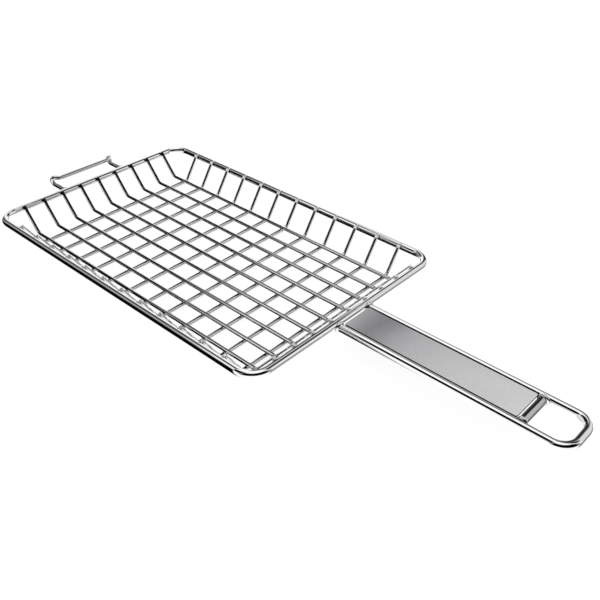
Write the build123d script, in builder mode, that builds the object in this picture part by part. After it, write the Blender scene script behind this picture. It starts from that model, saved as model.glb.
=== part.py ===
"""Grill basket: an open tray of welded steel wire, hung in a closed rod rim, with a long flat handle.

Frame: millimetres, +Z up, +X from the basket's centre towards the handle, +Y across the basket.
The origin is on the surface the basket rests on, under the middle of the floor.

Lengthwise wires run along X and lie on the crosswise wires, which run along Y. Both kinds bend up
into sloping walls, and their tips lean on the inner shoulder of the rim.
"""

import os
from math import cos, radians, sin, tan

from build123d import *

# Stock
ROD_DIAMETER = 6.0
WIRE_DIAMETER = 3.0
LOOP_DIAMETER = 4.0
PLATE_THICKNESS = 1.5
WELD_SINK = 0.3  # how deep resistance welding presses one round bar into another

# Rim, measured along the middle of its rod
RIM_LENGTH = 306.0
RIM_WIDTH = 198.0
RIM_CORNER_RADIUS = 15.0
RIM_HEIGHT = 21.1

# Floor and walls
LENGTHWISE_COUNT = 9
LENGTHWISE_PITCH = 18.93
LENGTHWISE_WALL_ANGLE = 50.0  # end walls, up from the floor
CROSSWISE_COUNT = 12
CROSSWISE_PITCH = 22.3
CROSSWISE_SHIFT = 1.5  # the crosswise wires sit a little towards the handle
CROSSWISE_WALL_ANGLE = 57.0  # side walls, up from the floor
WALL_BEND_RADIUS = 6.0
TIP_OVERHANG = 0.6  # wire past the point where it touches the rim
TIP_ROUNDING = 0.4

# Handle
HANDLE_ROD_SPACING = 33.0
HANDLE_END = 329.2
HANDLE_CORNER_RADIUS = 11.5
HANDLE_HEIGHT = 19.6
PLATE_START = 158.0
PLATE_END = 293.0
PLATE_WIDTH = 27.1
PLATE_UNDERSIDE = 20.5
PLATE_CORNER_RADIUS = 1.6
PLATE_EDGE_ROUNDING = 0.3
CROSSBAR_PLACE = 296.6

# Front loop, the bent wire at the end away from the handle
LOOP_ARM_SPACING = 62.0
LOOP_EAR_SPACING = 66.0
LOOP_BAR_STRAIGHT = 52.0
LOOP_REACH = 22.0  # from the middle of the rim's rod to the loop's outer corners
LOOP_BAR_REACH = 18.0  # from the middle of the rim's rod to the straight bar
LOOP_ARM_HEIGHT = 20.6
LOOP_EAR_HEIGHT = 28.0
LOOP_BAR_HEIGHT = 25.9
LOOP_BEND_RADIUS = 2.9

# Welds
TACK_RADIUS = 1.5
TACK_LENGTH = 8.0
TACKS_PER_SIDE = 4
ROD_BEAD_RADIUS = 1.3
LOOP_BEAD_RADIUS = 1.0
BEAD_STANDOFF = 0.2  # a root bead's middle, out from the rim's flank

# Worked out from the above
ROD_RADIUS = ROD_DIAMETER / 2
WIRE_RADIUS = WIRE_DIAMETER / 2
LOOP_RADIUS = LOOP_DIAMETER / 2
RIM_END = RIM_LENGTH / 2
RIM_SIDE = RIM_WIDTH / 2
CROSSWISE_LEVEL = WIRE_RADIUS
LENGTHWISE_LEVEL = CROSSWISE_LEVEL + WIRE_DIAMETER - WELD_SINK
LENGTHWISE_PLACES = [(n - (LENGTHWISE_COUNT - 1) / 2) * LENGTHWISE_PITCH for n in range(LENGTHWISE_COUNT)]
CROSSWISE_PLACES = [
    (n - (CROSSWISE_COUNT - 1) / 2) * CROSSWISE_PITCH + CROSSWISE_SHIFT for n in range(CROSSWISE_COUNT)
]
TIP_TO_RIM = ROD_RADIUS + WIRE_RADIUS - WELD_SINK  # between their axes where a wire leans on the rim
HANDLE_SIDE = HANDLE_ROD_SPACING / 2

os.makedirs("parts", exist_ok=True)


def save(part, name):
    """Names one piece and writes it to its own file."""
    part.label = name
    export_step(part, f"parts/{name}.step")


def start_plane(path):
    """The plane square to a path at its start."""
    return Plane(origin=path @ 0, z_dir=path % 0)


def rim_contact(rim_reach, wall_angle):
    """Reach and height of a wire's axis where the wire leans on the rim."""
    reach = rim_reach - TIP_TO_RIM * sin(radians(wall_angle))
    height = RIM_HEIGHT + TIP_TO_RIM * cos(radians(wall_angle))
    return reach, height


def bent_wire(rim_reach, level, wall_angle):
    """A wire in the XZ plane: flat floor at one level, then a sloping wall up to the rim at each end."""
    contact_reach, contact_height = rim_contact(rim_reach, wall_angle)
    tip_reach = contact_reach + TIP_OVERHANG * cos(radians(wall_angle))
    tip_height = contact_height + TIP_OVERHANG * sin(radians(wall_angle))
    bend_reach = contact_reach - (contact_height - level) / tan(radians(wall_angle))
    corners = [
        (-tip_reach, tip_height),
        (-bend_reach, level),
        (bend_reach, level),
        (tip_reach, tip_height),
    ]
    with BuildPart() as wire:
        with BuildLine(Plane.XZ) as path:
            FilletPolyline(corners, radius=WALL_BEND_RADIUS)
        with BuildSketch(start_plane(path.line)):
            Circle(WIRE_RADIUS)
        sweep()
        tip_edges = wire.edges().filter_by(GeomType.CIRCLE).group_by(Axis.Z)[-1]
        fillet(tip_edges, TIP_ROUNDING)
    return wire.part


def straight_bar(radius, length):
    """A round bar along Y, centred on the origin, used to cut seats for bars that cross it."""
    with BuildPart() as bar:
        Cylinder(radius, length, rotation=(90, 0, 0))
    return bar.part


def bead_ring(bar_radius, bead_radius):
    """A ring of weld round a bar that runs along X, bulging out from the bar's surface."""
    with BuildPart() as bead:
        with BuildSketch(Plane.XZ):
            with Locations((0, bar_radius)):
                Circle(bead_radius)
            Rectangle(4 * bead_radius, 2 * bar_radius, mode=Mode.SUBTRACT)
        revolve(axis=Axis.X)
    return bead.part


# Rim: one closed rod, a rounded rectangle lying level
with BuildPart() as rim:
    with BuildLine(Plane.XY.offset(RIM_HEIGHT)) as rim_path:
        FilletPolyline(
            (RIM_END, -RIM_SIDE),
            (RIM_END, RIM_SIDE),
            (-RIM_END, RIM_SIDE),
            (-RIM_END, -RIM_SIDE),
            radius=RIM_CORNER_RADIUS,
            close=True,
        )
    with BuildSketch(start_plane(rim_path.line)):
        Circle(ROD_RADIUS)
    sweep()
save(rim.part, "rim")

# Crosswise wires: the lower layer, shaped along X here and turned to run along Y
with BuildPart() as crosswise_pattern:
    add(bent_wire(RIM_SIDE, CROSSWISE_LEVEL, CROSSWISE_WALL_ANGLE))
    with Locations((RIM_SIDE, 0, RIM_HEIGHT), (-RIM_SIDE, 0, RIM_HEIGHT)):
        add(straight_bar(ROD_RADIUS, 4 * ROD_DIAMETER), mode=Mode.SUBTRACT)

for number, place in enumerate(CROSSWISE_PLACES, start=1):
    with BuildPart() as crosswise_wire:
        with Locations(Location((place, 0, 0), (0, 0, 90))):
            add(crosswise_pattern.part)
    save(crosswise_wire.part, f"crosswise_wire_{number}")

# Lengthwise wires: the upper layer, with a shallow seat where each one crosses a crosswise wire
with BuildPart() as lengthwise_pattern:
    add(bent_wire(RIM_END, LENGTHWISE_LEVEL, LENGTHWISE_WALL_ANGLE))
    with Locations((RIM_END, 0, RIM_HEIGHT), (-RIM_END, 0, RIM_HEIGHT)):
        add(straight_bar(ROD_RADIUS, 4 * ROD_DIAMETER), mode=Mode.SUBTRACT)
    with Locations([(place, 0, CROSSWISE_LEVEL) for place in CROSSWISE_PLACES]):
        add(straight_bar(WIRE_RADIUS, 4 * WIRE_DIAMETER), mode=Mode.SUBTRACT)

for number, place in enumerate(LENGTHWISE_PLACES, start=1):
    with BuildPart() as lengthwise_wire:
        with Locations((0, place, 0)):
            add(lengthwise_pattern.part)
    save(lengthwise_wire.part, f"lengthwise_wire_{number}")

# Handle rod: one rod bent into a long U, its two ends coped to the rim's outer flank
with BuildPart() as handle_rod:
    with BuildLine(Plane.XY.offset(HANDLE_HEIGHT)) as handle_path:
        FilletPolyline(
            (RIM_END + ROD_RADIUS / 2, -HANDLE_SIDE),
            (HANDLE_END, -HANDLE_SIDE),
            (HANDLE_END, HANDLE_SIDE),
            (RIM_END + ROD_RADIUS / 2, HANDLE_SIDE),
            radius=HANDLE_CORNER_RADIUS,
        )
    with BuildSketch(start_plane(handle_path.line)):
        Circle(ROD_RADIUS)
    sweep()
    add(rim.part, mode=Mode.SUBTRACT)
save(handle_rod.part, "handle_rod")

# Handle crossbar: a short rod that closes the hanging eye, coped between the handle's two sides
with BuildPart() as handle_crossbar:
    with Locations((CROSSBAR_PLACE, 0, HANDLE_HEIGHT)):
        add(straight_bar(ROD_RADIUS, HANDLE_ROD_SPACING - ROD_RADIUS))
    add(handle_rod.part, mode=Mode.SUBTRACT)
save(handle_crossbar.part, "handle_crossbar")

# Handle plate: flat sheet lying in the groove between the two sides, nearly flush with their tops
with BuildPart() as handle_plate:
    with BuildSketch(Plane.XY.offset(PLATE_UNDERSIDE)):
        with Locations(((PLATE_START + PLATE_END) / 2, 0)):
            RectangleRounded(PLATE_END - PLATE_START, PLATE_WIDTH, PLATE_CORNER_RADIUS)
    extrude(amount=PLATE_THICKNESS)
    flat_faces = handle_plate.faces().filter_by(Axis.Z)
    fillet(flat_faces.edges(), PLATE_EDGE_ROUNDING)
save(handle_plate.part, "handle_plate")

# Plate tacks: short welds under the plate, in the corner between it and the rods
tack_step = (PLATE_END - PLATE_START) / TACKS_PER_SIDE
tack_starts = [PLATE_START + (n + 0.5) * tack_step - TACK_LENGTH / 2 for n in range(TACKS_PER_SIDE)]
with BuildPart() as plate_tacks:
    with BuildSketch(*[Plane.YZ.offset(x) for x in tack_starts]):
        with Locations((PLATE_WIDTH / 2, PLATE_UNDERSIDE)):
            Circle(TACK_RADIUS)
        with Locations((HANDLE_SIDE, HANDLE_HEIGHT)):
            Circle(ROD_RADIUS, mode=Mode.SUBTRACT)
        with Locations((HANDLE_SIDE, PLATE_UNDERSIDE)):
            Rectangle(ROD_DIAMETER * 2, ROD_DIAMETER, align=(Align.CENTER, Align.MIN), mode=Mode.SUBTRACT)
        mirror(about=Plane.YZ)
    extrude(amount=TACK_LENGTH)
save(plate_tacks.part, "plate_tacks")

# Handle root beads: welds round the two rod ends at the rim
root_bead_reach = RIM_END + ROD_RADIUS + BEAD_STANDOFF
with BuildPart() as handle_root_beads:
    with Locations([(root_bead_reach, side, HANDLE_HEIGHT) for side in (-HANDLE_SIDE, HANDLE_SIDE)]):
        add(bead_ring(ROD_RADIUS, ROD_BEAD_RADIUS))
    add(rim.part, mode=Mode.SUBTRACT)
save(handle_root_beads.part, "handle_root_beads")

# Crossbar beads: welds round the crossbar's two ends
bead_side = HANDLE_SIDE - ROD_RADIUS
with BuildPart() as crossbar_beads:
    with Locations([Location((CROSSBAR_PLACE, y, HANDLE_HEIGHT), (0, 0, 90)) for y in (-bead_side, bead_side)]):
        add(bead_ring(ROD_RADIUS, ROD_BEAD_RADIUS))
    add(handle_rod.part, mode=Mode.SUBTRACT)
    add(handle_plate.part, mode=Mode.SUBTRACT)
save(crossbar_beads.part, "crossbar_beads")

# Front loop: one wire whose arms leave the rim, turn up at the ears and close in a straight bar
arm_side = LOOP_ARM_SPACING / 2
ear_side = LOOP_EAR_SPACING / 2
bar_side = LOOP_BAR_STRAIGHT / 2
loop_root = -RIM_END - ROD_RADIUS / 2
loop_outer = -RIM_END - LOOP_REACH
loop_bar = -RIM_END - LOOP_BAR_REACH
with BuildPart() as front_loop:
    with BuildLine() as loop_path:
        FilletPolyline(
            (loop_root, -arm_side, LOOP_ARM_HEIGHT),
            (loop_outer, -arm_side, LOOP_ARM_HEIGHT),
            (loop_outer, -ear_side, LOOP_EAR_HEIGHT),
            (loop_bar, -bar_side, LOOP_BAR_HEIGHT),
            (loop_bar, bar_side, LOOP_BAR_HEIGHT),
            (loop_outer, ear_side, LOOP_EAR_HEIGHT),
            (loop_outer, arm_side, LOOP_ARM_HEIGHT),
            (loop_root, arm_side, LOOP_ARM_HEIGHT),
            radius=LOOP_BEND_RADIUS,
        )
    with BuildSketch(start_plane(loop_path.line)):
        Circle(LOOP_RADIUS)
    sweep()
    add(rim.part, mode=Mode.SUBTRACT)
save(front_loop.part, "front_loop")

# Front loop beads: welds round the loop's two arms at the rim
with BuildPart() as front_loop_beads:
    with Locations([(-root_bead_reach, side, LOOP_ARM_HEIGHT) for side in (-arm_side, arm_side)]):
        add(bead_ring(LOOP_RADIUS, LOOP_BEAD_RADIUS))
    add(rim.part, mode=Mode.SUBTRACT)
save(front_loop_beads.part, "front_loop_beads")
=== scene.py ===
"""Looks for the grill basket: polished wire and rod, a satin handle plate, weld beads and a studio.

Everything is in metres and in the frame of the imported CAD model: +X runs from the middle of the
basket towards the handle, +Y across it, +Z up, and the basket stands on z = 0.
"""

import math
import random

import bmesh
import bpy
from mathutils import Matrix, Vector


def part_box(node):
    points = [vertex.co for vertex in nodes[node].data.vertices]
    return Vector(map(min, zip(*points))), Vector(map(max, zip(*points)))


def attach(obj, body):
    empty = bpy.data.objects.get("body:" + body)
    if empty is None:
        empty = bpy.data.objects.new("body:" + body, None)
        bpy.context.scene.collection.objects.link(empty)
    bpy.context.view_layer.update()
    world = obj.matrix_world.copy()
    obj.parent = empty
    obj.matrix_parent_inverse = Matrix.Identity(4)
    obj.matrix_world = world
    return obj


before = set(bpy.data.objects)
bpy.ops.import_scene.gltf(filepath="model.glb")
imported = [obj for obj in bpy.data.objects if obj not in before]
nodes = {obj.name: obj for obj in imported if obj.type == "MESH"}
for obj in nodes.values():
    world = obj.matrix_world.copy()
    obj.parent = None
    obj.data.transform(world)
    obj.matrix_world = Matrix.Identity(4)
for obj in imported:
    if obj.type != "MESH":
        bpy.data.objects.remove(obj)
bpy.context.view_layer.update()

# Camera: where it looks, from where, and how it is held
CAMERA_TARGET = Vector((0.1180, -0.0159, 0.0241))
CAMERA_AZIMUTH = math.radians(42.06)
CAMERA_ELEVATION = math.radians(35.34)
CAMERA_ROLL = math.radians(0.69)
CAMERA_DISTANCE = 0.5614
CAMERA_LENS = 46.64
SENSOR_WIDTH = 36.0

# What a bar mirrors, as (angle in degrees, brightness) stops round the bar's own axis.
# Bars along X mirror the first three, from the left of the picture to its right, and bars along Y
# mirror the last two, from the left to the far corner. Round +X the angle starts at +Y and rises
# through +Z; round -Y it starts at +X and rises through +Z.
LEFT_BANDS = [
    (-60, 1.15),
    (42, 1.15),
    (56, 0.5),
    (68, 0.08),
    (96, 0.05),
    (106, 0.15),
    (116, 0.42),
    (140, 0.42),
    (152, 0.06),
    (160, 0.0),
    (258, 0.0),
    (274, 0.4),
    (290, 1.15),
    (300, 1.15),
]
MIDDLE_BANDS = [
    (-60, 1.15),
    (58, 1.15),
    (70, 0.08),
    (102, 0.06),
    (112, 1.0),
    (144, 1.0),
    (155, 0.04),
    (164, 0.0),
    (280, 0.0),
    (292, 1.15),
    (300, 1.15),
]
HANDLE_BANDS = [
    (-60, 1.15),
    (-12, 1.0),
    (2, 0.25),
    (26, 0.25),
    (46, 1.2),
    (102, 1.2),
    (108, 0.0),
    (155, 0.0),
    (163, 1.15),
    (300, 1.15),
]
BACK_BANDS = [
    (-180, 1.15),
    (-66, 1.0),
    (-42, 0.32),
    (-4, 0.32),
    (8, 1.0),
    (46, 1.0),
    (60, 0.04),
    (96, 0.04),
    (108, 0.7),
    (132, 1.15),
    (180, 1.15),
]
END_BANDS = [
    (-180, 1.15),
    (-66, 1.1),
    (-46, 0.25),
    (-14, 0.25),
    (8, 0.8),
    (84, 0.8),
    (102, 0.04),
    (134, 0.04),
    (148, 0.6),
    (168, 1.0),
    (180, 1.15),
]
TENT_BRIGHTNESS = 1.15

# Where, in a mirrored ray's X or Y part, one set of bands gives way to the next
LEFT_TO_MIDDLE = (-0.645, -0.575)
MIDDLE_TO_HANDLE = (-0.535, -0.455)
BACK_TO_END = (0.615, 0.675)
TENT_TO_CARDS = (0.04, -0.14)
BACK_FROM_Y = (0.34, 0.42)
BACK_FROM_X = (-0.60, -0.50)

# The handle's bands start further right for rays that head down: by nothing at the first of these
# angles, and by the whole shift at the second
TAPER_START = 162.0
TAPER_END = 262.0
TAPER_SHIFT = 0.09

# Dark card behind the camera: its heading, size and soft edges, in degrees
CAMERA_CARD_HEADING = 325.0
CAMERA_CARD_HALF_WIDTH = 63.0
CAMERA_CARD_SOFTNESS = 14.0
CAMERA_CARD_BOTTOM = (-8.0, 4.0)
CAMERA_CARD_TOP = (66.0, 54.0)

# Sides of a bar where shade or light is painted: the direction that the side faces, and the cosines
# to that direction where the side starts and where it is full
WIRE_SIDE = ((0, -0.60, 0.80), 0.86, 0.94)
WALL_SIDE = ((0.76, -0.10, 0.64), 0.70, 0.86)
WIRE_UPPER_EDGE = ((0, 0.34, 0.94), 0.84, 0.94)
WIRE_LOWER_EDGE = ((0, -0.91, -0.41), 0.84, 0.94)
CROSSWISE_TOP = ((0.14, 0, 0.99), 0.86, 0.94)
FAR_BAR_LOW_SIDE = ((0, -0.996, -0.087), 0.90, 0.96)
FAR_BAR_HIGH_SIDE = ((0, -0.95, 0.31), 0.91, 0.97)
HANDLE_BAR_TOP = ((-0.17, 0, 0.985), 0.966, 0.984)
EYE_INNER_LINE = ((-1, 0, 0), 0.12, 0.22)
EYE_UPPER_SIDE = ((0, 0, 1), 0.62, 0.80)
EYE_INNER_SIDE = ((-1, 0, 0), 0.05, 0.25)
EYE_BELOW_TOP = ((0, 0, -1), -0.72, -0.55)
CROSSBAR_PLATE_SIDE = ((-1, 0, 0), -0.04, 0.12)
CROSSBAR_EYE_EDGE = ((1, 0, 0), 0.93, 0.98)
SHEET_UPPER_FACE = ((0, 0, 1), 0.55, 0.80)
SHEET_LOWER_FACE = ((0, 0, -1), 0.55, 0.80)

# Stretches of the basket: the axis, and the places in metres where the stretch starts and where it
# is full
WIRES_BY_HANDLE = ("X", 0.0, 0.07)
RIM_BY_HANDLE = ("X", -0.06, 0.02)
HANDLE_BAR = ("X", 0.146, 0.149)
FAR_HALF = ("Y", 0.0, 0.02)
FAR_PART_OF_HANDLE_BAR = ("Y", -0.03, 0.03)
FAR_BAR = ("Y", 0.086, 0.092)

# The satin sheet's tone from its end at the rim to its end at the crossbar, a painted reflection
# that is darkest near the rim, as (share of the length, grey)
PLATE_PAINTED_REFLECTION = [
    (0.0, 0.37),
    (0.06, 0.27),
    (0.13, 0.205),
    (0.20, 0.27),
    (0.28, 0.40),
    (0.36, 0.50),
    (0.50, 0.60),
    (0.75, 0.70),
    (1.0, 0.80),
]

# Weld beads that the CAD leaves to the looks, as half-sizes of a rounded blob
CROSSING_BEAD = Vector((0.00150, 0.00150, 0.00085))
TIP_BEAD = Vector((0.00165, 0.00130, 0.00085))
TIP_LEAN = math.radians(45)  # where a tip touches the rim's rod, from its top towards the basket
BEAD_VARIATION = 0.12
BEAD_RINGS = 8
BEAD_SEGMENTS = 16

# Floor: how much of its light it returns and how much it gives, so that it reads as white paper
FLOOR_PAINT = 0.14
FLOOR_GLOW = 0.89
FLOOR_DROP = 0.0002  # below z = 0, so that the floor and the wires don't share a plane

random.seed(7)


# ---------------------------------------------------------------- node helpers


class Shader:
    """A material's or a world's node tree, with one-line ways to add and join nodes."""

    def __init__(self, tree):
        self.tree = tree
        tree.nodes.clear()

    def node(self, kind, **settings):
        made = self.tree.nodes.new(kind)
        for name, value in settings.items():
            setattr(made, name, value)
        return made

    def put(self, value, socket):
        """Joins an output to an input socket, or sets the socket to a plain value."""
        if isinstance(value, bpy.types.NodeSocket):
            self.tree.links.new(value, socket)
        elif value is not None:
            socket.default_value = value

    def math(self, operation, a, b=None):
        made = self.node("ShaderNodeMath", operation=operation)
        for value, socket in zip((a, b), made.inputs):
            self.put(value, socket)
        return made.outputs[0]

    def larger(self, a, b):
        return self.math("MAXIMUM", a, b)

    def product(self, first, *others):
        for other in others:
            first = self.math("MULTIPLY", first, other)
        return first

    def opposite(self, share):
        return self.math("SUBTRACT", 1.0, share)

    def ramp(self, value, stops):
        """Maps a value through (place, grey) stops, in straight runs between them."""
        made = self.node("ShaderNodeValToRGB")
        made.color_ramp.interpolation = "LINEAR"
        elements = made.color_ramp.elements
        while len(elements) < len(stops):
            elements.new(0.5)
        for element, (place, grey) in zip(elements, stops):
            element.position = place
            element.color = (grey, grey, grey, 1)
        self.put(value, made.inputs["Fac"])
        return made.outputs["Color"]

    def mix(self, share, a, b):
        made = self.node("ShaderNodeMix", data_type="RGBA")
        self.put(share, made.inputs["Factor"])
        self.put(a, made.inputs["A"])
        self.put(b, made.inputs["B"])
        return made.outputs["Result"]

    def place(self, scale=(1, 1, 1)):
        """The shaded point in object space, stretched by scale."""
        coordinates = self.node("ShaderNodeTexCoord")
        mapping = self.node("ShaderNodeMapping")
        mapping.inputs["Scale"].default_value = scale
        self.put(coordinates.outputs["Object"], mapping.inputs["Vector"])
        return mapping.outputs["Vector"]

    def noise(self, vector, scale, detail, roughness):
        made = self.node("ShaderNodeTexNoise")
        self.put(vector, made.inputs["Vector"])
        made.inputs["Scale"].default_value = scale
        made.inputs["Detail"].default_value = detail
        made.inputs["Roughness"].default_value = roughness
        return made.outputs["Fac"]

    def bump(self, height, strength, distance, normal=None):
        made = self.node("ShaderNodeBump")
        made.inputs["Strength"].default_value = strength
        made.inputs["Distance"].default_value = distance
        self.put(height, made.inputs["Height"])
        self.put(normal, made.inputs["Normal"])
        return made.outputs["Normal"]

    def step(self, value, low, high):
        """0 below low, 1 above high and a smooth rise between."""
        made = self.node("ShaderNodeMapRange", interpolation_type="SMOOTHSTEP")
        made.inputs["From Min"].default_value = low
        made.inputs["From Max"].default_value = high
        self.put(value, made.inputs["Value"])
        return made.outputs["Result"]

    def between(self, value, low, high, start=0.0, end=1.0):
        """Stretches a value that runs from start to end over low to high."""
        made = self.node("ShaderNodeMapRange")
        made.inputs["From Min"].default_value = start
        made.inputs["From Max"].default_value = end
        made.inputs["To Min"].default_value = low
        made.inputs["To Max"].default_value = high
        self.put(value, made.inputs["Value"])
        return made.outputs["Result"]


def new_material(name):
    material = bpy.data.materials.new(name)
    material.use_nodes = True
    return material, Shader(material.node_tree)


def metal_output(shader, color, roughness, normal, anisotropy=0.0, film_and_painted_light=0.0):
    """Joins a metal's colour, roughness and bump to the output, under a share of pale diffuse film.
    """
    surface = shader.node("ShaderNodeBsdfPrincipled")
    surface.inputs["Metallic"].default_value = 1.0
    surface.inputs["Anisotropic"].default_value = anisotropy
    shader.put(color, surface.inputs["Base Color"])
    shader.put(roughness, surface.inputs["Roughness"])
    shader.put(normal, surface.inputs["Normal"])
    # The diffuse share is painted light on the polished bars, and the satin sheet's own film on the
    # plate
    film_and_painted_light_bsdf = shader.node("ShaderNodeBsdfDiffuse")
    shader.put(color, film_and_painted_light_bsdf.inputs["Color"])
    shader.put(normal, film_and_painted_light_bsdf.inputs["Normal"])
    both = shader.node("ShaderNodeMixShader")
    shader.put(film_and_painted_light, both.inputs["Fac"])
    shader.put(surface.outputs["BSDF"], both.inputs[1])
    shader.put(film_and_painted_light_bsdf.outputs["BSDF"], both.inputs[2])
    output = shader.node("ShaderNodeOutputMaterial")
    shader.put(both.outputs[0], output.inputs["Surface"])


def crevice_painted_shade(shader, color, reach, darkest):
    """Painted shade: darkens a colour where other steel stands closer than reach."""
    open_share = shader.node("ShaderNodeAmbientOcclusion", samples=6)
    open_share.inputs["Distance"].default_value = reach
    share = shader.step(open_share.outputs["AO"], low=0.25, high=0.95)
    return shader.mix(share, grey(darkest), color)


# ---------------------------------------------------------------- sizes taken from the CAD


def numbered(prefix):
    """The boxes of the CAD nodes that share a name and differ in number, in order."""
    found = [name for name in nodes if name.startswith(prefix)]
    found.sort(key=lambda name: int(name.rsplit("_", 1)[1]))
    return [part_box(name) for name in found]


lengthwise = numbered("lengthwise_wire")
crosswise = numbered("crosswise_wire")
rim_low, rim_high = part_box("rim")
rod_radius = (rim_high.z - rim_low.z) / 2
wire_radius = (lengthwise[0][1].y - lengthwise[0][0].y) / 2
rim_level = (rim_high.z + rim_low.z) / 2
crossing_level = (lengthwise[0][0].z + crosswise[0][0].z + 2 * wire_radius) / 2
lengthwise_pitch = abs(lengthwise[1][0].y - lengthwise[0][0].y)

# Stretches of the wires' height: above the floor, and two starts of the tips above the rim's
# middle, the first for painted shade and the second for a painted highlight
above_floor = ("Z", crossing_level + 0.003, crossing_level + 0.006)
painted_shade_tips = ("Z", rim_level + 0.0004, rim_level + 0.0012)
painted_highlight_tips = ("Z", rim_level + 0.0006, rim_level + 0.0022)


# ---------------------------------------------------------------- materials


def facing(shader, direction, low, high):
    """0 to 1 as the surface turns towards a direction, between two cosines."""
    geometry = shader.node("ShaderNodeNewGeometry")
    product = shader.node("ShaderNodeVectorMath", operation="DOT_PRODUCT")
    shader.put(geometry.outputs["Normal"], product.inputs[0])
    product.inputs[1].default_value = Vector(direction).normalized()
    return shader.step(product.outputs["Value"], low, high)


def coordinate(shader, axis):
    """The shaded point's X, Y or Z."""
    split = shader.node("ShaderNodeSeparateXYZ")
    shader.put(shader.place(), split.inputs[0])
    return split.outputs[axis]


def along(shader, axis, low, high):
    """0 to 1 between two places along X, Y or Z."""
    return shader.step(coordinate(shader, axis), low, high)


def grey(tone):
    return (tone, tone, tone, 1)


def polished_steel(name, drawn_along, tone, shade=None, film_and_painted_light=None, crevice=0.0018):
    """Electropolished stainless bar: near mirror, with faint drawing lines and a little waviness.

    shade(shader, color) darkens a side of the bar with painted shade; the painted-light hook gives,
    for a shader, the share of pale diffuse film laid over the bar; crevice is how near other steel
    has to be to darken it with painted shade.
    """
    material, shader = new_material(name)
    stretch = {"x": (0.04, 1, 1), "y": (1, 0.04, 1), "any": (1, 1, 1)}[drawn_along]
    drawing = shader.noise(shader.place(stretch), scale=2600.0, detail=3.0, roughness=0.6)
    waviness = shader.noise(shader.place(), scale=160.0, detail=2.0, roughness=0.5)
    smudges = shader.noise(shader.place(), scale=28.0, detail=4.0, roughness=0.6)
    color = shader.mix(smudges, grey(tone - 0.04), grey(tone + 0.04))
    if shade:
        color = shade(shader, color)
    # Painted shade where other steel comes near
    color = crevice_painted_shade(shader, color, crevice, 0.02)
    roughness = shader.math(
        "ADD",
        shader.between(smudges, low=0.025, high=0.055),
        shader.between(drawing, low=-0.015, high=0.02),
    )
    wavy = shader.bump(waviness, strength=0.12, distance=0.0002)
    lines = shader.bump(drawing, strength=0.04, distance=0.00005, normal=wavy)
    metal_output(shader, color, roughness, lines, film_and_painted_light=film_and_painted_light(shader) if film_and_painted_light else 0.0)
    return material


def lengthwise_shade(shader, color):
    """Painted shade: one dark side and dark tips in the half away from the handle, two dark edges
    in the other.
    """
    side = shader.larger(facing(shader, *WIRE_SIDE), facing(shader, *WALL_SIDE))
    side = shader.larger(side, along(shader, *painted_shade_tips))
    edges = shader.larger(facing(shader, *WIRE_UPPER_EDGE), facing(shader, *WIRE_LOWER_EDGE))
    on_floor = shader.opposite(along(shader, *above_floor))
    by_handle = along(shader, *WIRES_BY_HANDLE)
    side = shader.product(side, shader.opposite(by_handle))
    edges = shader.product(edges, on_floor, by_handle)
    return shader.mix(shader.larger(side, edges), color, grey(0.05))


def tip_painted_highlight(shader):
    """Painted highlight on the ends of the far wires, where they catch the light above the rim."""
    return shader.product(along(shader, *painted_highlight_tips), along(shader, *FAR_HALF), 0.75)


def crosswise_shade(shader, color):
    """Painted shade on the upper side, darkest where it nears the lengthwise wire above it."""
    pitches = shader.math("DIVIDE", coordinate(shader, "Y"), lengthwise_pitch)
    nearing = shader.step(shader.math("FRACT", pitches), low=0.10, high=0.85)
    strength = shader.between(nearing, low=0.45, high=1.0)
    top = shader.product(facing(shader, *CROSSWISE_TOP), strength)
    return shader.mix(top, color, grey(0.03))


def rim_shade(shader, color):
    """Painted shade on the inner side of the far bar, and a painted dark line along the top of the
    bar by the handle.
    """
    by_handle = along(shader, *RIM_BY_HANDLE)
    low = shader.product(facing(shader, *FAR_BAR_LOW_SIDE), by_handle)
    high = shader.product(facing(shader, *FAR_BAR_HIGH_SIDE), shader.opposite(by_handle))
    far = shader.product(shader.math("ADD", low, high), along(shader, *FAR_BAR))
    near_part = shader.opposite(along(shader, *FAR_PART_OF_HANDLE_BAR))
    top = shader.product(facing(shader, *HANDLE_BAR_TOP), along(shader, *HANDLE_BAR), near_part)
    return shader.mix(shader.larger(far, top), color, grey(0.03))


def eye_shade(shader, color):
    """A painted dark line round the inside of the handle's end bend."""
    line = shader.product(facing(shader, *EYE_INNER_LINE), facing(shader, *EYE_UPPER_SIDE))
    return shader.mix(line, color, grey(0.03))


def eye_painted_floor_reflection(shader):
    """Painted reflection of the pale floor on the low inside of the same bend."""
    return shader.product(facing(shader, *EYE_INNER_SIDE), facing(shader, *EYE_BELOW_TOP), 0.85)


def crossbar_shade(shader, color):
    """Painted shade on the side towards the plate, where little light gets in, and a painted dark
    line along the other side.
    """
    dark = shader.larger(facing(shader, *CROSSBAR_PLATE_SIDE), facing(shader, *CROSSBAR_EYE_EDGE))
    return shader.mix(dark, color, grey(0.02))


def weld_steel():
    """Polished weld metal: brighter crests as a painted highlight, and slightly rougher hollows
    than the bar.
    """
    material, shader = new_material("weld_metal")
    lumps = shader.noise(shader.place(), scale=900.0, detail=3.0, roughness=0.55)
    grain = shader.noise(shader.place(), scale=5200.0, detail=2.0, roughness=0.6)
    # Painted highlight on the crests, by the same lumps that raise the bump
    tone = shader.mix(lumps, grey(0.74), grey(0.92))
    # Painted shade where other steel comes near
    tone = crevice_painted_shade(shader, tone, reach=0.0007, darkest=0.03)
    roughness = shader.math(
        "ADD",
        shader.between(lumps, low=0.08, high=0.18),
        shader.between(grain, low=-0.03, high=0.03),
    )
    soft = shader.bump(lumps, strength=0.25, distance=0.0002)
    fine = shader.bump(grain, strength=0.08, distance=0.00005, normal=soft)
    metal_output(shader, tone, roughness, fine)
    return material


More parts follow.
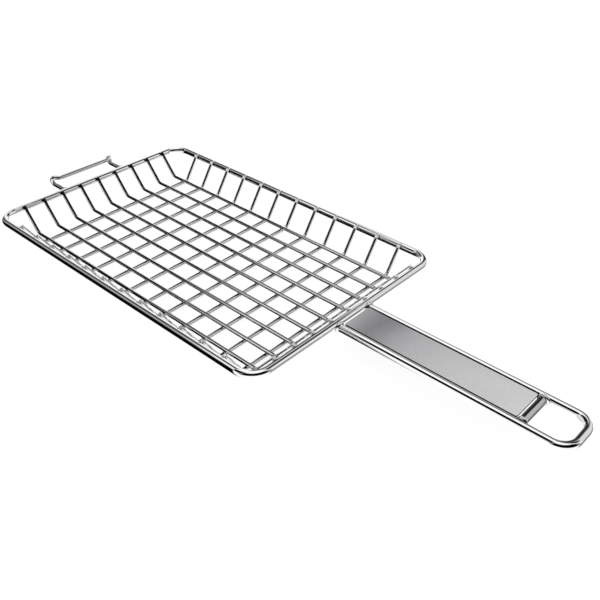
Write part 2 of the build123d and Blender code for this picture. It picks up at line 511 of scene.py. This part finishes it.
def satin_plate():
    """Fine satin sheet: grain along the handle, soft clouding, a painted reflection, and cut edges
    in painted shade.
    """
    low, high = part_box("handle_plate")
    material, shader = new_material("satin_sheet")
    grain = shader.noise(shader.place((0.02, 1, 1)), scale=5200.0, detail=4.0, roughness=0.65)
    speckle = shader.noise(shader.place((0.35, 1, 1)), scale=1500.0, detail=3.0, roughness=0.6)
    clouds = shader.noise(shader.place(), scale=34.0, detail=3.0, roughness=0.5)
    # Painted reflection: the tone along the sheet, darker by the rim
    from_rim = shader.between(coordinate(shader, "X"), 0.0, 1.0, start=low.x, end=high.x)
    fade = shader.math("ADD", from_rim, shader.between(clouds, low=-0.05, high=0.05))
    tinted = shader.mix(0.06, shader.ramp(fade, PLATE_PAINTED_REFLECTION), (0.62, 0.58, 0.78, 1))
    texture = shader.math("ADD", grain, speckle)
    dusty = shader.mix(shader.between(texture, low=0.0, high=0.08), tinted, (0.45, 0.45, 0.47, 1))
    mottling = shader.noise(shader.place(), scale=1300.0, detail=2.0, roughness=0.6)
    mottled = shader.node("ShaderNodeVectorMath", operation="SCALE")
    shader.put(dusty, mottled.inputs[0])
    shader.put(shader.between(mottling, low=0.80, high=1.20), mottled.inputs["Scale"])
    # Painted shade on the cut edges, the faces that point neither up nor down
    face = shader.math("ADD", facing(shader, *SHEET_UPPER_FACE), facing(shader, *SHEET_LOWER_FACE))
    edges_in_painted_shade = shader.mix(face, grey(0.02), mottled.outputs[0])
    # Painted shade where other steel comes near
    color = crevice_painted_shade(shader, edges_in_painted_shade, reach=0.0016, darkest=0.01)
    roughness = shader.math(
        "ADD",
        shader.between(clouds, low=0.34, high=0.42),
        shader.between(grain, low=-0.04, high=0.04),
    )
    brushed = shader.bump(grain, strength=0.18, distance=0.00008)
    metal_output(shader, color, roughness, brushed, anisotropy=0.35, film_and_painted_light=0.5)
    return material


def wear_material(piece, material):
    piece.data.materials.clear()
    piece.data.materials.append(material)


# All bars are one steel: the crossbar's and the loop's lower tones are painted shade
materials = {
    "lengthwise": polished_steel("polished_wire_lengthwise", "x", 0.82, lengthwise_shade),
    "crosswise": polished_steel(
        "polished_wire_crosswise", "y", 0.86, crosswise_shade, tip_painted_highlight, crevice=0.0024
    ),
    "handle": polished_steel("polished_handle_rod", "x", 0.86, eye_shade, eye_painted_floor_reflection),
    "crossbar": polished_steel("polished_crossbar", "y", 0.54, crossbar_shade),
    "rod": polished_steel("polished_rod", "any", 0.86, rim_shade),
    "loop": polished_steel("polished_loop", "any", 0.62),
    "weld": weld_steel(),
    "plate": satin_plate(),
}


def finish_of(name):
    """Which material a CAD node wears."""
    if name.startswith("lengthwise_wire"):
        return materials["lengthwise"]
    if name.startswith("crosswise_wire"):
        return materials["crosswise"]
    if name == "handle_rod":
        return materials["handle"]
    if name == "handle_crossbar":
        return materials["crossbar"]
    if name == "handle_plate":
        return materials["plate"]
    if name == "front_loop":
        return materials["loop"]
    if name.endswith("beads") or name.endswith("tacks"):
        return materials["weld"]
    return materials["rod"]


for name, piece in nodes.items():
    wear_material(piece, finish_of(name))


# ---------------------------------------------------------------- weld beads at crossings and tips


def bead(mesh, half_size, turn, centre):
    """Adds one slightly uneven rounded blob of weld to a mesh."""
    uneven = Vector(
        [half * (1 + random.uniform(-BEAD_VARIATION, BEAD_VARIATION)) for half in half_size]
    )
    matrix = Matrix.Translation(centre) @ turn @ Matrix.Diagonal(uneven.to_4d())
    bmesh.ops.create_uvsphere(
        mesh, u_segments=BEAD_SEGMENTS, v_segments=BEAD_RINGS, radius=1.0, matrix=matrix
    )


def weld_piece(name, mesh):
    """Turns a finished bead mesh into a piece of the basket."""
    data = bpy.data.meshes.new(name)
    for face in mesh.faces:
        face.smooth = True
    mesh.to_mesh(data)
    mesh.free()
    piece = bpy.data.objects.new(name, data)
    bpy.context.scene.collection.objects.link(piece)
    wear_material(piece, materials["weld"])
    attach(piece, "root")


crossings = bmesh.new()
for low_x, high_x in crosswise:
    for low_y, high_y in lengthwise:
        centre = Vector(((low_x.x + high_x.x) / 2, (low_y.y + high_y.y) / 2, crossing_level))
        bead(crossings, CROSSING_BEAD, Matrix.Rotation(math.radians(45), 4, "Z"), centre)
weld_piece("floor_weld_beads", crossings)


def tip_beads(mesh, boxes, across, reach, turns):
    """Beads where a set of wires leans on the rim.

    across is the axis along which the wires are spaced, reach is how far out the rim's rod runs,
    and turns are the headings of the two sides.
    """
    inwards = Vector((-math.sin(TIP_LEAN), 0, math.cos(TIP_LEAN)))
    seat = Vector((reach, 0, rim_level)) + inwards * rod_radius
    for low, high in boxes:
        middle = (low + high) / 2
        for turn in turns:
            spun = Matrix.Rotation(math.radians(turn), 4, "Z")
            centre = spun @ seat
            centre[across] = middle[across]
            bead(mesh, TIP_BEAD, spun @ Matrix.Rotation(-TIP_LEAN, 4, "Y"), centre)


tips = bmesh.new()
tip_beads(tips, lengthwise, 1, rim_high.x - rod_radius, (0, 180))
tip_beads(tips, crosswise, 0, rim_high.y - rod_radius, (90, 270))
weld_piece("tip_weld_beads", tips)


# ---------------------------------------------------------------- studio, floor and camera


def heading(shader, rise, run, start):
    """The angle of (run, rise) in degrees, counted up from start through a full turn."""
    turned = shader.math("ARCTAN2", rise, run)
    degrees = shader.math("DEGREES", turned)
    counted = shader.math("SUBTRACT", degrees, start)
    return shader.math("ADD", shader.math("FLOORED_MODULO", counted, 360.0), start)


def bands(shader, angle, stops):
    """Brightness by angle, in straight runs between the stops."""
    first = stops[0][0]
    share = shader.math("DIVIDE", shader.math("SUBTRACT", angle, first), 360.0)
    return shader.ramp(share, [((place - first) / 360.0, value) for place, value in stops])


def studio_surroundings(shader):
    """What polished steel mirrors: a bright tent with dark cards left, behind and by the camera."""
    coordinates = shader.node("ShaderNodeTexCoord")
    split = shader.node("ShaderNodeSeparateXYZ")
    shader.put(coordinates.outputs["Generated"], split.inputs[0])
    x, y, z = split.outputs

    round_x = heading(shader, z, y, LEFT_BANDS[0][0])
    round_y = heading(shader, z, x, BACK_BANDS[0][0])
    by_basket = bands(shader, round_x, LEFT_BANDS)
    by_middle = bands(shader, round_x, MIDDLE_BANDS)
    by_handle = bands(shader, round_x, HANDLE_BANDS)
    left = shader.mix(shader.step(x, *LEFT_TO_MIDDLE), by_basket, by_middle)
    taper = shader.between(round_x, 0.0, TAPER_SHIFT, start=TAPER_START, end=TAPER_END)
    tapered = shader.math("SUBTRACT", x, taper)
    left = shader.mix(shader.step(tapered, *MIDDLE_TO_HANDLE), left, by_handle)
    by_near_rim = bands(shader, round_y, BACK_BANDS)
    by_far_corner = bands(shader, round_y, END_BANDS)
    back = shader.mix(shader.step(y, *BACK_TO_END), by_near_rim, by_far_corner)

    tent = shader.mix(shader.step(x, *TENT_TO_CARDS), grey(TENT_BRIGHTNESS), left)
    facing_back = shader.product(shader.step(y, *BACK_FROM_Y), shader.step(x, *BACK_FROM_X))
    tent = shader.mix(facing_back, tent, back)

    azimuth = heading(shader, y, x, CAMERA_CARD_HEADING - 180.0)
    off_centre = shader.math("ABSOLUTE", shader.math("SUBTRACT", azimuth, CAMERA_CARD_HEADING))
    outer_edge = CAMERA_CARD_HALF_WIDTH + CAMERA_CARD_SOFTNESS
    inner_edge = CAMERA_CARD_HALF_WIDTH - CAMERA_CARD_SOFTNESS
    height = shader.math("DEGREES", shader.math("ARCSINE", z))
    above_bottom = shader.step(height, *CAMERA_CARD_BOTTOM)
    below_top = shader.step(height, *CAMERA_CARD_TOP)
    across = shader.step(off_centre, outer_edge, inner_edge)
    card = shader.product(across, shader.product(above_bottom, below_top))
    return shader.mix(card, tent, grey(0.0))


def studio_world():
    world = bpy.data.worlds.new("studio")
    world.use_nodes = True
    bpy.context.scene.world = world
    shader = Shader(world.node_tree)
    rays = shader.node("ShaderNodeLightPath")
    mirrored = shader.node("ShaderNodeBackground")
    shader.put(studio_surroundings(shader), mirrored.inputs["Color"])
    plain = shader.node("ShaderNodeBackground")
    plain.inputs["Color"].default_value = (1, 1, 1, 1)
    choice = shader.node("ShaderNodeMixShader")
    shader.put(rays.outputs["Is Glossy Ray"], choice.inputs["Fac"])
    shader.put(plain.outputs[0], choice.inputs[1])
    shader.put(mirrored.outputs[0], choice.inputs[2])
    output = shader.node("ShaderNodeOutputWorld")
    shader.put(choice.outputs[0], output.inputs["Surface"])


def floor_material():
    """Pale floor that mirrored rays pass through, so that the steel shows the tent all round."""
    material, shader = new_material("pale_floor")
    rays = shader.node("ShaderNodeLightPath")
    paint = shader.node("ShaderNodeBsdfDiffuse")
    paint.inputs["Color"].default_value = grey(FLOOR_PAINT)
    glow = shader.node("ShaderNodeEmission")
    glow.inputs["Color"].default_value = (1, 1, 1, 1)
    glow.inputs["Strength"].default_value = FLOOR_GLOW
    lit = shader.node("ShaderNodeAddShader")
    shader.put(paint.outputs[0], lit.inputs[0])
    shader.put(glow.outputs[0], lit.inputs[1])
    clear = shader.node("ShaderNodeBsdfTransparent")
    choice = shader.node("ShaderNodeMixShader")
    shader.put(rays.outputs["Is Glossy Ray"], choice.inputs["Fac"])
    shader.put(lit.outputs[0], choice.inputs[1])
    shader.put(clear.outputs[0], choice.inputs[2])
    output = shader.node("ShaderNodeOutputMaterial")
    shader.put(choice.outputs[0], output.inputs["Surface"])
    return material


def floor(half_size=8.0):
    """A plane just under the basket, wide enough to fill the picture."""
    mesh = bmesh.new()
    bmesh.ops.create_grid(mesh, x_segments=1, y_segments=1, size=half_size)
    data = bpy.data.meshes.new("floor")
    mesh.to_mesh(data)
    mesh.free()
    piece = bpy.data.objects.new("floor", data)
    piece.location.z = -FLOOR_DROP
    bpy.context.scene.collection.objects.link(piece)
    wear_material(piece, floor_material())


def soft_light(name, place, aim, size, power):
    """A square soft box that lights the scene but isn't mirrored as a square in the steel."""
    light = bpy.data.lights.new(name, "AREA")
    light.shape = "SQUARE"
    light.size = size
    light.energy = power
    holder = bpy.data.objects.new(name, light)
    holder.location = place
    holder.rotation_euler = (Vector(aim) - Vector(place)).to_track_quat("-Z", "Y").to_euler()
    holder.visible_glossy = False
    bpy.context.scene.collection.objects.link(holder)


def camera():
    """The camera, from its heading, height and roll round the point that it looks at."""
    back = Vector(
        (
            math.sin(CAMERA_AZIMUTH) * math.cos(CAMERA_ELEVATION),
            -math.cos(CAMERA_AZIMUTH) * math.cos(CAMERA_ELEVATION),
            math.sin(CAMERA_ELEVATION),
        )
    )
    right = (-back).cross(Vector((0, 0, 1))).normalized()
    up = right.cross(-back)
    side = math.cos(CAMERA_ROLL) * right + math.sin(CAMERA_ROLL) * up
    top = -math.sin(CAMERA_ROLL) * right + math.cos(CAMERA_ROLL) * up
    data = bpy.data.cameras.new("camera")
    data.lens = CAMERA_LENS
    data.sensor_width = SENSOR_WIDTH
    data.clip_start = 0.01
    holder = bpy.data.objects.new("camera", data)
    holder.matrix_world = Matrix.Translation(CAMERA_TARGET + CAMERA_DISTANCE * back) @ Matrix(
        (side, top, back)
    ).transposed().to_4x4()
    bpy.context.scene.collection.objects.link(holder)
    bpy.context.scene.camera = holder


studio_world()
floor()
soft_light("overhead_soft_box", place=(0.2, 0.3, 1.6), aim=(0.1, 0.0, 0.0), size=1.6, power=6.0)
camera()
bpy.context.scene.view_settings.view_transform = "Standard"
